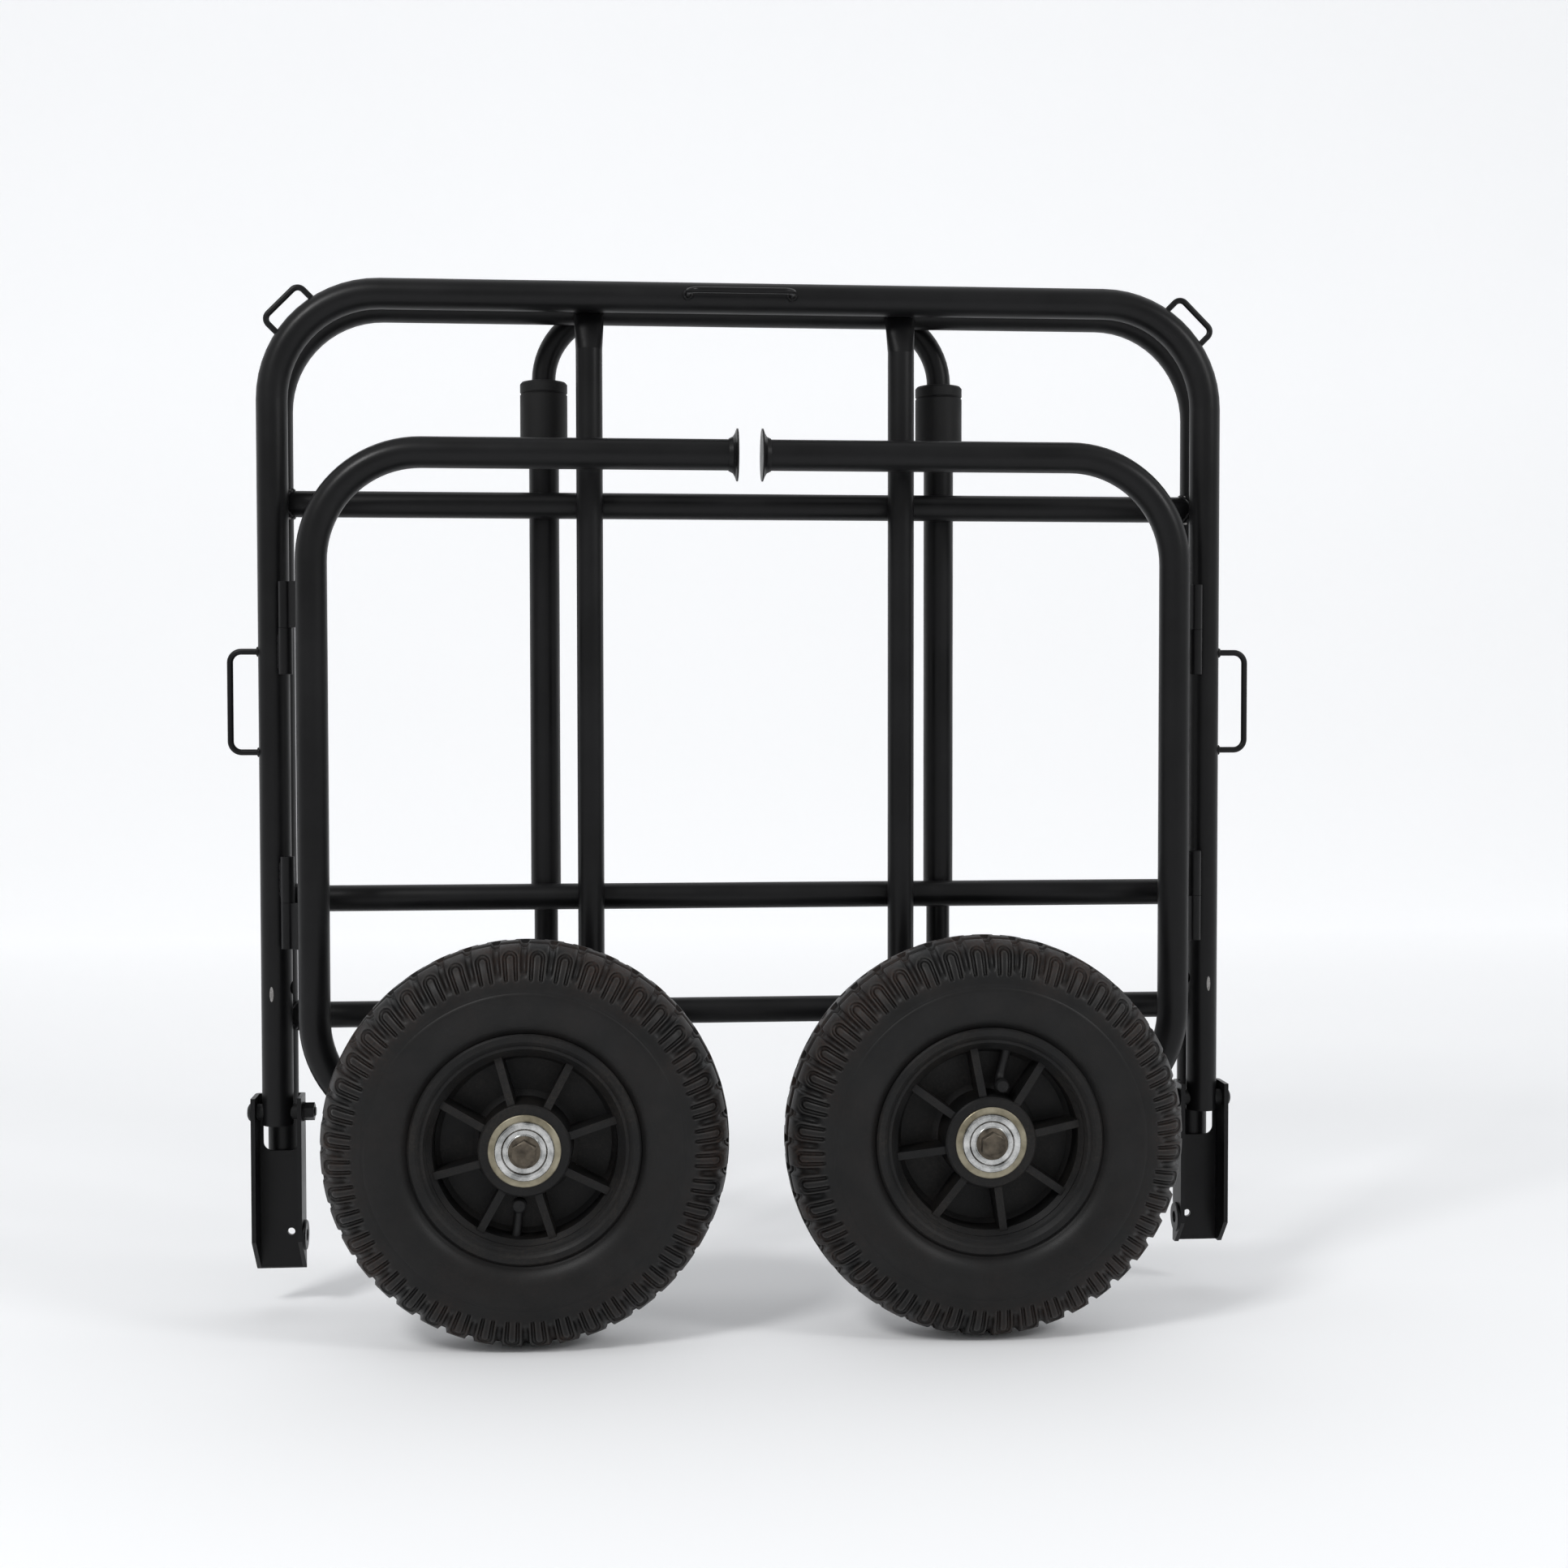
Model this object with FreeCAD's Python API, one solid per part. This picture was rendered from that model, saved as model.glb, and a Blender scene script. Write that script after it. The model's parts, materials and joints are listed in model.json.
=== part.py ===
"""Two-wheel folding flat-bed camp cart, folded flat and standing on its tyres.

Frame of the part: +Z up, +X to the right as the folded cart is faced from its
wheel side, which is -Y. The origin is on the floor, under the middle of the
cart's bounding box. All sizes are in millimetres.

The front half is a bare U of tube. The rear half is a U of tube with cross bars
and lengthwise bars, and carries two channel brackets in which the front half
turns on bolts. Two C-shaped legs hinge on the front U, each with a foot on its
upper arm and a wheel on its lower arm. A U handle slides in the rear half.
"""
import FreeCAD, Part
import math
import os

V = FreeCAD.Vector

# ---------------------------------------------------------------- driving sizes
TUBE_R = 12.7            # 25.4 mm tube: both U frames, legs, handle guides
TUBE_WALL = 1.6
BAR_R = 11.0             # 22 mm tube: cross bars and lengthwise bars
BAR_WALL = 1.5
HANDLE_R = 10.0          # 20 mm tube
HANDLE_WALL = 1.5
ROD_R = 2.5              # 5 mm rod of the tie-down loops
BEND_R = 88.0            # centre line radius of the frame and leg bends
HANDLE_BEND_R = 60.0

HALF_WIDTH = 389.0       # middle of the cart to a U frame's leg
PIVOT_Z = 165.0          # fold bolt
FRONT_TOP_Z = 838.0      # centre of the front U's top run
REAR_TOP_Z = 832.5
FRONT_END_Z = PIVOT_Z - 10.2
REAR_END_Z = 100.0
REAR_END_BEVEL = 34.0
UPPER_BAR_Z = 668.5
MIDDLE_BAR_Z = 339.0
LOWER_BAR_Z = 241.0
LONG_BAR_X = 130.5
GUIDE_X = 169.5
HANDLE_TOP_Z = 836.0
HANDLE_END_Z = 282.0
COLLAR_R = 20.0
COLLAR_TOP_Z = 776.0
COLLAR_LENGTH = 70.0
COLLAR_LIP = 10.0

PLATE = 3.5              # bracket plate
BRACKET_INSIDE = 34.0
BRACKET_TOP_Z = 178.0
BRACKET_LIP = 12.0       # side walls' reach in front of the front U's centre
BRACKET_END_Z = {"left": 31.0, "right": 39.0}
CHAMFER_Z = 59.0
CHAMFER_SLOPE = 0.95
WINDOW_WIDTH = 29.0
WINDOW_LOW_Z = 130.0
WINDOW_CORNER_R = 7.0
SOCKET_Z = 62.0
SOCKET_R = 9.25
SOCKET_BORE_R = 5.0
SOCKET_REACH = 2.5
SOCKET_FLANGE_R = 12.5
BRACKET_HOLE_R = 3.0
BRACKET_HOLE_INSET = 8.0

LEG_INSET = 36.0         # a leg's long tube, inboard of the U frame's leg
LEG_TOP_Z = 704.0
AXLE_Z = 159.0           # also the tyre's radius
AXLE_X = 180.7
FOOT_X = 9.7
FOOT_R = 21.4
LEG_ARM_END_X = 160.0

HINGE_INSET = 12.6
KNUCKLE_R = 5.5
HINGE_PIN_R = 3.0
UPPER_HINGE_Z = (526.0, 601.0)
LOWER_HINGE_Z = (302.5, 377.5)

TYRE_HALF_WIDTH = 44.0
HUB_HALF = 37.0
AXLE_R = 6.0
RIB_COUNT = 8
VALVE_ANGLE = {"left": -96.0, "right": 77.0}

RUNNING = 0.06           # radial clearance of a running fit
GAP = 0.3                # clearance between faces that pass each other

# ------------------------------------------------- depths, from the front U's plane
REAR_DEPTH = TUBE_R + 0.5 + PLATE + TUBE_R
LONG_BAR_DEPTH = REAR_DEPTH - 2 * BAR_R
GUIDE_DEPTH = REAR_DEPTH + BAR_R + TUBE_R
LEG_DEPTH = -40.0
HINGE_DEPTH = -20.5
WHEEL_DEPTH = -110.0
WASHER_THICK = 2.5
BOLT_FLANGE_THICK = 2.5
BOLT_HEAD_THICK = 7.5
CUP_FLANGE_THICK = 1.5
WASHER_T = HUB_HALF + CUP_FLANGE_THICK + GAP
AXLE_HEAD_T = WASHER_T + WASHER_THICK
AXLE_TIP_T = AXLE_HEAD_T + BOLT_FLANGE_THICK + BOLT_HEAD_THICK

# the front U's plane sits where the bounding box is centred on y = 0
FRONT_Y = ((AXLE_TIP_T - WHEEL_DEPTH) - (GUIDE_DEPTH + COLLAR_R)) / 2
REAR_Y = FRONT_Y + REAR_DEPTH
LONG_BAR_Y = FRONT_Y + LONG_BAR_DEPTH
GUIDE_Y = FRONT_Y + GUIDE_DEPTH
LEG_Y = FRONT_Y + LEG_DEPTH
HINGE_Y = FRONT_Y + HINGE_DEPTH
WHEEL_Y = FRONT_Y + WHEEL_DEPTH

SIDES = {"left": -1, "right": 1}


# ------------------------------------------------------------------ small helpers
def bent_path(points, radius):
    """Straight runs through the points, with a tangent arc at each inner point."""
    edges = []
    start = points[0]
    for before, corner, after in zip(points, points[1:], points[2:]):
        d_in = (corner - before).normalize()
        d_out = (after - corner).normalize()
        turn = d_in.getAngle(d_out)
        reach = radius * math.tan(turn / 2)
        arc_in = corner - d_in * reach
        arc_out = corner + d_out * reach
        bisector = (d_out - d_in).normalize()
        centre = corner + bisector * (radius / math.cos(turn / 2))
        arc_mid = centre - bisector * radius
        edges.append(Part.LineSegment(start, arc_in).toShape())
        edges.append(Part.Arc(arc_in, arc_mid, arc_out).toShape())
        start = arc_out
    edges.append(Part.LineSegment(start, points[-1]).toShape())
    return Part.Wire(edges), (points[1] - points[0]).normalize()


def sweep(points, bend_radius, section_radius):
    """A round solid carried along a bent path."""
    path, direction = bent_path(points, bend_radius)
    circle = Part.Wire(Part.makeCircle(section_radius, points[0], direction))
    return path.makePipeShell([circle], True, True)


def bent_tube(points, bend_radius, outer_radius, wall):
    outer = sweep(points, bend_radius, outer_radius)
    inner = sweep(points, bend_radius, outer_radius - wall)
    return outer.cut(inner)


def rod(radius, start, end):
    """A round bar from start to end."""
    axis = end - start
    return Part.makeCylinder(radius, axis.Length, start, axis)


def pipe(outer_radius, inner_radius, start, end):
    return rod(outer_radius, start, end).cut(rod(inner_radius, start, end))


def turned(profile, origin, axis):
    """A solid of revolution: profile points are (distance along axis, radius)."""
    axis = V(axis).normalize()
    side = V(1, 0, 0) if abs(axis.x) < 0.9 else V(0, 0, 1)
    points = [origin + axis * along + side * radius for along, radius in profile]
    face = Part.Face(Part.makePolygon(points + [points[0]]))
    return face.revolve(origin, axis, 360)


def box(x0, x1, y0, y1, z0, z1):
    return Part.makeBox(x1 - x0, y1 - y0, z1 - z0, V(x0, y0, z0))


def hexagon(across_flats, start, end):
    """A hexagonal bar from start to end."""
    axis = end - start
    corner = across_flats / math.sqrt(3)
    side = V(0, 0, 1)
    other = axis.cross(side).normalize()
    points = [start + (side * math.cos(a) + other * math.sin(a)) * corner
              for a in (math.radians(60 * k) for k in range(7))]
    return Part.Face(Part.makePolygon(points)).extrude(axis)


def both_sides(make):
    """One node holding the same piece on the left and on the right."""
    return Part.makeCompound([make(side) for side in SIDES.values()])


# -------------------------------------------------------------------- front half
def u_frame(y, top_z, end_z):
    """A U of tube, open at the bottom."""
    points = [V(-HALF_WIDTH, y, end_z), V(-HALF_WIDTH, y, top_z),
              V(HALF_WIDTH, y, top_z), V(HALF_WIDTH, y, end_z)]
    return bent_tube(points, BEND_R, TUBE_R, TUBE_WALL)


SLEEVE_R = 6.5
PIVOT_BOLT_R = 4.0
LOCK_HOLE_Z = 2 * PIVOT_Z - SOCKET_Z
LOCK_HOLE_R = 5.4


def front_frame():
    """Front U, cross-drilled for the pivot sleeves and, inboard, for a lock pin."""
    frame = u_frame(FRONT_Y, FRONT_TOP_Z, FRONT_END_Z)
    for side in SIDES.values():
        x = side * HALF_WIDTH
        sleeve_hole = rod(SLEEVE_R, V(x - TUBE_R - 1, FRONT_Y, PIVOT_Z),
                          V(x + TUBE_R + 1, FRONT_Y, PIVOT_Z))
        lock_hole = rod(LOCK_HOLE_R, V(x, FRONT_Y, LOCK_HOLE_Z),
                        V(x - side * (TUBE_R + 1), FRONT_Y, LOCK_HOLE_Z))
        frame = frame.cut(sleeve_hole).cut(lock_hole)
    return frame


def pivot_sleeve(side):
    """Steel sleeve through the front U's leg end, which turns on the pivot bolt."""
    half = BRACKET_INSIDE / 2 - GAP
    x = side * HALF_WIDTH
    return pipe(SLEEVE_R, PIVOT_BOLT_R + RUNNING, V(x - half, FRONT_Y, PIVOT_Z),
                V(x + half, FRONT_Y, PIVOT_Z))


LOOP_CORNER_R = 9.0
SIDE_LOOP_Z = 503.5
SIDE_LOOP_SPAN = 82.5
SIDE_LOOP_REACH = 22.8
TOP_LOOP_X = -6.0
TOP_LOOP_SPAN = 86.0
CORNER_LOOP_SPAN = 40.0
CORNER_LOOP_REACH = 13.0


def tie_loop(base, outward, along, span, reach, corner_r):
    """A rod bent to a shallow U, whose two ends stand on the tube at base."""
    root = base - outward * 0.6
    points = [root - along * span / 2, base + outward * reach - along * span / 2,
              base + outward * reach + along * span / 2, root + along * span / 2]
    return sweep(points, corner_r, ROD_R)


def side_loop(side):
    base = V(side * (HALF_WIDTH + TUBE_R), FRONT_Y, SIDE_LOOP_Z)
    loop = tie_loop(base, V(side, 0, 0), V(0, 0, 1), SIDE_LOOP_SPAN, SIDE_LOOP_REACH,
                    LOOP_CORNER_R)
    leg = rod(TUBE_R, V(side * HALF_WIDTH, FRONT_Y, 400), V(side * HALF_WIDTH, FRONT_Y, 600))
    return loop.cut(leg)


def corner_loop(side):
    """Loop on the outside of a top bend, at 45 degrees."""
    outward = V(side, 0, 1).normalize()
    along = V(side, 0, -1).normalize()
    centre = V(side * (HALF_WIDTH - BEND_R), FRONT_Y, FRONT_TOP_Z - BEND_R)
    outer_r = BEND_R + TUBE_R
    drop = outer_r - math.sqrt(outer_r ** 2 - (CORNER_LOOP_SPAN / 2) ** 2)
    base = centre + outward * (outer_r - drop)
    loop = tie_loop(base, outward, along, CORNER_LOOP_SPAN, CORNER_LOOP_REACH + drop,
                    LOOP_CORNER_R * 0.7)
    bend = Part.makeTorus(BEND_R, TUBE_R, centre, V(0, 1, 0))
    return loop.cut(bend)


def top_loop():
    """Loop on the wheel side of the top run, lying level."""
    base = V(TOP_LOOP_X, FRONT_Y - TUBE_R, FRONT_TOP_Z)
    loop = tie_loop(base, V(0, -1, 0), V(1, 0, 0), TOP_LOOP_SPAN, SIDE_LOOP_REACH,
                    LOOP_CORNER_R)
    run = rod(TUBE_R, V(-100, FRONT_Y, FRONT_TOP_Z), V(100, FRONT_Y, FRONT_TOP_Z))
    return loop.cut(run)


# -------------------------------------------------------- hinges of the two legs
LEAF_THICK = 3.5


def hinge_axis(side):
    return V(side * (HALF_WIDTH - HINGE_INSET), HINGE_Y, 0)


def hinge_halves(z_range):
    """Height ranges of a hinge's lower and upper knuckle."""
    low, high = z_range
    middle = (low + high) / 2
    return (low, middle - GAP / 2), (middle + GAP / 2, high)


FIXED_RANGES = (hinge_halves(UPPER_HINGE_Z)[0], hinge_halves(LOWER_HINGE_Z)[1])
MOVING_RANGES = (hinge_halves(UPPER_HINGE_Z)[1], hinge_halves(LOWER_HINGE_Z)[0])


def knuckle(side, tube_centre, z_range, bore_r):
    """A knuckle on the hinge axis, with a leaf that reaches a tube beside it."""
    low, high = z_range
    axis = hinge_axis(side)
    reach = tube_centre - axis
    toward = V(reach).normalize()
    across = V(-toward.y, toward.x, 0)
    corners = [axis + across * LEAF_THICK / 2, axis + toward * reach.Length + across * LEAF_THICK / 2,
               axis + toward * reach.Length - across * LEAF_THICK / 2, axis - across * LEAF_THICK / 2]
    corners = [V(c.x, c.y, low) for c in corners]
    leaf = Part.Face(Part.makePolygon(corners + [corners[0]])).extrude(V(0, 0, high - low))
    barrel = rod(KNUCKLE_R, V(axis.x, axis.y, low), V(axis.x, axis.y, high))
    tube = rod(TUBE_R + 0.1, V(tube_centre.x, tube_centre.y, low - 1),
               V(tube_centre.x, tube_centre.y, high + 1))
    bore = rod(bore_r, V(axis.x, axis.y, low - 1), V(axis.x, axis.y, high + 1))
    return barrel.fuse(leaf).cut(tube).cut(bore).removeSplitter()


def fixed_knuckles():
    pieces = []
    for side in SIDES.values():
        for z_range in FIXED_RANGES:
            centre = V(side * HALF_WIDTH, FRONT_Y, 0)
            pieces.append(knuckle(side, centre, z_range, HINGE_PIN_R))
    return Part.makeCompound(pieces)


def hinge_pins():
    pieces = []
    for side in SIDES.values():
        axis = hinge_axis(side)
        for low, high in (UPPER_HINGE_Z, LOWER_HINGE_Z):
            pieces.append(rod(HINGE_PIN_R, V(axis.x, axis.y, low + 1), V(axis.x, axis.y, high - 1)))
    return Part.makeCompound(pieces)


# --------------------------------------------------------------------- rear half
def rear_frame():
    """Rear U, its leg ends bevelled away from the brackets they are welded to."""
    front = REAR_Y - TUBE_R
    back = REAR_Y + TUBE_R
    wedge = [V(-450, front, REAR_END_Z), V(-450, back, REAR_END_Z + REAR_END_BEVEL),
             V(-450, back + 5, REAR_END_Z - 5), V(-450, front, REAR_END_Z - 5)]
    bevel = Part.Face(Part.makePolygon(wedge + [wedge[0]])).extrude(V(900, 0, 0))
    return u_frame(REAR_Y, REAR_TOP_Z, REAR_END_Z).cut(bevel)


def cross_bar(z):
    """A bar between the rear U's legs, its ends coped to the tube."""
    bar = pipe(BAR_R, BAR_R - BAR_WALL, V(-HALF_WIDTH, REAR_Y, z), V(HALF_WIDTH, REAR_Y, z))
    for side in SIDES.values():
        x = side * HALF_WIDTH
        bar = bar.cut(rod(TUBE_R + 0.1, V(x, REAR_Y, z - 30), V(x, REAR_Y, z + 30)))
    middle = box(-HALF_WIDTH + 5, HALF_WIDTH - 5, REAR_Y - 20, REAR_Y + 20, z - 20, z + 20)
    return bar.common(middle)


SQUASH_LOW_Z = 796.0
SQUASH_TOP_Z = 826.0
SQUASH_HALF_WIDTH = 12.6
SQUASH_HALF_THICK = 4.5
SQUASH_SHIFT = 7.3


def oval(x, y, z, half_x, half_y):
    """A level ellipse as a closed wire."""
    if abs(half_x - half_y) < 1e-6:
        return Part.Wire(Part.makeCircle(half_x, V(x, y, z)))
    curve = Part.Ellipse(V(x + half_x, y, z), V(x, y + half_y, z), V(x, y, z))
    return Part.Wire(curve.toShape())


def long_bar(side):
    """A lengthwise bar on the rear cross bars, its top squashed against the top run."""
    x = side * LONG_BAR_X
    low_z = LOWER_BAR_Z - BAR_R - 6
    straight = rod(BAR_R, V(x, LONG_BAR_Y, low_z), V(x, LONG_BAR_Y, SQUASH_LOW_Z))
    lower = oval(x, LONG_BAR_Y, SQUASH_LOW_Z, BAR_R, BAR_R)
    upper = oval(x, LONG_BAR_Y + SQUASH_SHIFT, SQUASH_TOP_Z, SQUASH_HALF_WIDTH,
                 SQUASH_HALF_THICK)
    squashed = Part.makeLoft([lower, upper], True, True)
    bore = rod(BAR_R - BAR_WALL, V(x, LONG_BAR_Y, low_z - 1), V(x, LONG_BAR_Y, SQUASH_LOW_Z - 2))
    top_run = rod(TUBE_R + 0.1, V(x - 40, REAR_Y, REAR_TOP_Z), V(x + 40, REAR_Y, REAR_TOP_Z))
    bar = straight.fuse(squashed).cut(bore).cut(top_run)
    for z in (UPPER_BAR_Z, MIDDLE_BAR_Z, LOWER_BAR_Z):
        bar = bar.cut(rod(BAR_R + 0.05, V(x - 40, REAR_Y, z), V(x + 40, REAR_Y, z)))
    return bar


GUIDE_LOW_Z = MIDDLE_BAR_Z - 9.0
GUIDE_BORE_R = TUBE_R - TUBE_WALL
GUIDE_TOP_Z = COLLAR_TOP_Z - COLLAR_LIP
BUSH_LENGTH = 22.0
BUSH_R = HANDLE_R + RUNNING


def guide_tube(side):
    x = side * GUIDE_X
    return pipe(TUBE_R, GUIDE_BORE_R, V(x, GUIDE_Y, GUIDE_LOW_Z), V(x, GUIDE_Y, GUIDE_TOP_Z))


def guide_bush(side):
    """Nylon liner in the lower end of a guide tube."""
    x = side * GUIDE_X
    return pipe(GUIDE_BORE_R, BUSH_R, V(x, GUIDE_Y, GUIDE_LOW_Z),
                V(x, GUIDE_Y, GUIDE_LOW_Z + BUSH_LENGTH))


def collar(side):
    """Moulded sleeve over a guide tube's top, whose lip steadies the handle."""
    low = COLLAR_TOP_Z - COLLAR_LENGTH
    groove_z = COLLAR_TOP_Z - 11.0
    profile = [(low, TUBE_R), (low, COLLAR_R - 1), (low + 1, COLLAR_R),
               (groove_z - 1.2, COLLAR_R), (groove_z, COLLAR_R - 1), (groove_z + 1.2, COLLAR_R),
               (COLLAR_TOP_Z - 3.0, COLLAR_R), (COLLAR_TOP_Z - 1.2, COLLAR_R - 1.5),
               (COLLAR_TOP_Z, HANDLE_R + 3), (COLLAR_TOP_Z, BUSH_R),
               (GUIDE_TOP_Z, BUSH_R), (GUIDE_TOP_Z, TUBE_R)]
    return turned(profile, V(side * GUIDE_X, GUIDE_Y, 0), V(0, 0, 1))


def bracket(name):
    """Channel welded to a rear leg, open towards the wheels, which holds the fold bolt."""
    side = SIDES[name]
    x = side * HALF_WIDTH
    end_z = BRACKET_END_Z[name]
    half = BRACKET_INSIDE / 2
    back = FRONT_Y + TUBE_R + 0.5
    lip = FRONT_Y - BRACKET_LIP
    body = box(x - half - PLATE, x + half + PLATE, lip, back + PLATE, end_z, BRACKET_TOP_Z)
    corners = [e for e in body.Edges
               if e.BoundBox.ZLength > 50 and e.BoundBox.YMin > back]
    body = body.makeFillet(PLATE, corners)
    body = body.cut(box(x - half, x + half, lip - 1, back, end_z - 1, BRACKET_TOP_Z + 1))
    window = box(x - WINDOW_WIDTH / 2, x + WINDOW_WIDTH / 2, back - 1, back + PLATE + 1,
                 WINDOW_LOW_Z, BRACKET_TOP_Z + 20)
    low_edges = [e for e in window.Edges
                 if e.BoundBox.YLength > 1 and e.BoundBox.ZMax < WINDOW_LOW_Z + 1]
    body = body.cut(window.makeFillet(WINDOW_CORNER_R, low_edges))
    cut_depth = CHAMFER_SLOPE * (CHAMFER_Z - end_z)
    wedge = [V(x - 60, lip, CHAMFER_Z), V(x - 60, lip + cut_depth, end_z),
             V(x - 60, lip + cut_depth, end_z - 5), V(x - 60, lip - 5, end_z - 5),
             V(x - 60, lip - 5, CHAMFER_Z)]
    body = body.cut(Part.Face(Part.makePolygon(wedge + [wedge[0]])).extrude(V(120, 0, 0)))
    bolt_hole = rod(PIVOT_BOLT_R + 0.1, V(x - 40, FRONT_Y, PIVOT_Z), V(x + 40, FRONT_Y, PIVOT_Z))
    inner_x = x - side * (half + PLATE + 1)
    socket_hole = rod(SOCKET_R, V(inner_x, FRONT_Y, SOCKET_Z), V(x, FRONT_Y, SOCKET_Z))
    hole_x = x - side * BRACKET_HOLE_INSET
    web_hole = rod(BRACKET_HOLE_R, V(hole_x, back - 1, SOCKET_Z), V(hole_x, back + PLATE + 1, SOCKET_Z))
    return body.cut(bolt_hole).cut(socket_hole).cut(web_hole)


def pin_socket(side):
    """Flanged bush in a bracket's inner wall, for a removable lock pin."""
    wall = BRACKET_INSIDE / 2
    end = wall + PLATE + SOCKET_REACH
    profile = [(wall, SOCKET_BORE_R), (wall, SOCKET_R), (wall + PLATE, SOCKET_R),
               (wall + PLATE, SOCKET_FLANGE_R), (end - 0.8, SOCKET_FLANGE_R),
               (end, SOCKET_FLANGE_R - 0.8), (end, SOCKET_BORE_R)]
    return turned(profile, V(side * HALF_WIDTH, FRONT_Y, SOCKET_Z), V(-side, 0, 0))


NUT_AF = 13.0
NUT_THICK = 8.0
NUT_WASHER_R = 8.0
NUT_WASHER_THICK = 1.4


def pivot_bolt(side):
    """Domed bolt through a bracket, its head outboard."""
    outer = BRACKET_INSIDE / 2 + PLATE
    tip = -(outer + NUT_WASHER_THICK + NUT_THICK + 1.2)
    profile = [(tip, 0), (tip, PIVOT_BOLT_R - 0.8), (tip + 0.8, PIVOT_BOLT_R),
               (outer, PIVOT_BOLT_R), (outer, 8.0), (outer + 1.2, 7.8), (outer + 2.8, 6.6),
               (outer + 4.0, 4.4), (outer + 4.5, 0)]
    return turned(profile, V(side * HALF_WIDTH, FRONT_Y, PIVOT_Z), V(side, 0, 0))


def pivot_nut(side):
    """Washer and lock nut on a pivot bolt, inboard of the bracket."""
    start = HALF_WIDTH - BRACKET_INSIDE / 2 - PLATE
    seat = start - NUT_WASHER_THICK
    end = seat - NUT_THICK

    def at(x):
        return V(side * x, FRONT_Y, PIVOT_Z)

    washer = rod(NUT_WASHER_R, at(start), at(seat))
    nut = hexagon(NUT_AF, at(seat), at(end))
    return washer.fuse(nut).cut(rod(PIVOT_BOLT_R, at(start + 5), at(end - 5)))


# ------------------------------------------------------------------------ handle
def handle():
    points = [V(-GUIDE_X, GUIDE_Y, HANDLE_END_Z), V(-GUIDE_X, GUIDE_Y, HANDLE_TOP_Z),
              V(GUIDE_X, GUIDE_Y, HANDLE_TOP_Z), V(GUIDE_X, GUIDE_Y, HANDLE_END_Z)]
    return bent_tube(points, HANDLE_BEND_R, HANDLE_R, HANDLE_WALL)


# ------------------------------------------------------------- legs and their feet
FOOT_FLARE = 7.5
FOOT_THICK = 3.0


def leg_frame(side):
    """C-shaped leg: foot arm on top, wheel arm below, drilled for the axle bolt."""
    long_x = side * (HALF_WIDTH - LEG_INSET)
    foot_end = side * (FOOT_X + FOOT_THICK)
    points = [V(foot_end, LEG_Y, LEG_TOP_Z), V(long_x, LEG_Y, LEG_TOP_Z),
              V(long_x, LEG_Y, AXLE_Z), V(side * LEG_ARM_END_X, LEG_Y, AXLE_Z)]
    tube = bent_tube(points, BEND_R, TUBE_R, TUBE_WALL)
    return tube.cut(rod(AXLE_R, V(side * AXLE_X, LEG_Y - 20, AXLE_Z),
                        V(side * AXLE_X, LEG_Y + 20, AXLE_Z)))


def foot_plate(side):
    """Flared disc that closes the foot arm's end."""
    profile = [(0, 0), (0, FOOT_R), (1.2, FOOT_R), (2.4, FOOT_R - 3.5), (4.2, TUBE_R + 2.2),
               (FOOT_FLARE, TUBE_R + 0.6), (FOOT_FLARE, TUBE_R), (FOOT_THICK, TUBE_R),
               (FOOT_THICK, 0)]
    return turned(profile, V(side * FOOT_X, LEG_Y, LEG_TOP_Z), V(side, 0, 0))


def arm_plug(side):
    """Moulded plug in the wheel arm's free end."""
    bore = TUBE_R - TUBE_WALL
    profile = [(-12, 0), (-12, bore), (0, bore), (0, TUBE_R), (2.0, TUBE_R - 0.6), (3.0, 0)]
    return turned(profile, V(side * LEG_ARM_END_X, LEG_Y, AXLE_Z), V(-side, 0, 0))


def leg_knuckles(side):
    centre = V(side * (HALF_WIDTH - LEG_INSET), LEG_Y, 0)
    bore = HINGE_PIN_R + RUNNING
    return Part.makeCompound([knuckle(side, centre, z_range, bore) for z_range in MOVING_RANGES])


def along_axle(side, t):
    """Point on a wheel's axle, t in front of the wheel's middle plane."""
    return V(side * AXLE_X, WHEEL_Y - t, AXLE_Z)


AXLE_NUT_AF = 18.0
AXLE_NUT_THICK = 10.0
ARM_BACK_T = WHEEL_DEPTH - LEG_DEPTH - TUBE_R
BOLT_FLANGE_R = 12.5
BACK_WASHER_R = 12.0
BACK_WASHER_THICK = 2.0


def axle_bolt(side):
    """Flanged hexagon bolt, its head on the wheel's outer face."""
    tip = ARM_BACK_T - BACK_WASHER_THICK - AXLE_NUT_THICK - 2.0
    head = AXLE_HEAD_T + BOLT_FLANGE_THICK
    profile = [(tip, 0), (tip, AXLE_R - 1), (tip + 1, AXLE_R), (AXLE_HEAD_T, AXLE_R),
               (AXLE_HEAD_T, BOLT_FLANGE_R), (AXLE_HEAD_T + 1.0, BOLT_FLANGE_R),
               (head, 9.0), (head, 0)]
    bolt = turned(profile, along_axle(side, 0), V(0, -1, 0))
    hexagon_head = hexagon(AXLE_NUT_AF, along_axle(side, head), along_axle(side, AXLE_TIP_T))
    dome = turned([(head, 0), (head, 11.0), (AXLE_TIP_T - 1.6, 11.0), (AXLE_TIP_T, 8.4),
                   (AXLE_TIP_T, 0)], along_axle(side, 0), V(0, -1, 0))
    return bolt.fuse(hexagon_head.common(dome))


def axle_washer(side):
    """Thick front washer with a rounded rim."""
    face = WASHER_T + WASHER_THICK
    profile = [(WASHER_T, AXLE_R), (WASHER_T, 22.9), (face - 1.3, 22.9), (face - 0.5, 22.3),
               (face - 0.1, 21.0), (face, 19.5), (face - 0.2, 17.8), (face - 0.9, 16.6),
               (face - 0.9, 13.4), (face, 13.0), (face, AXLE_R)]
    return turned(profile, along_axle(side, 0), V(0, -1, 0))


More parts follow.
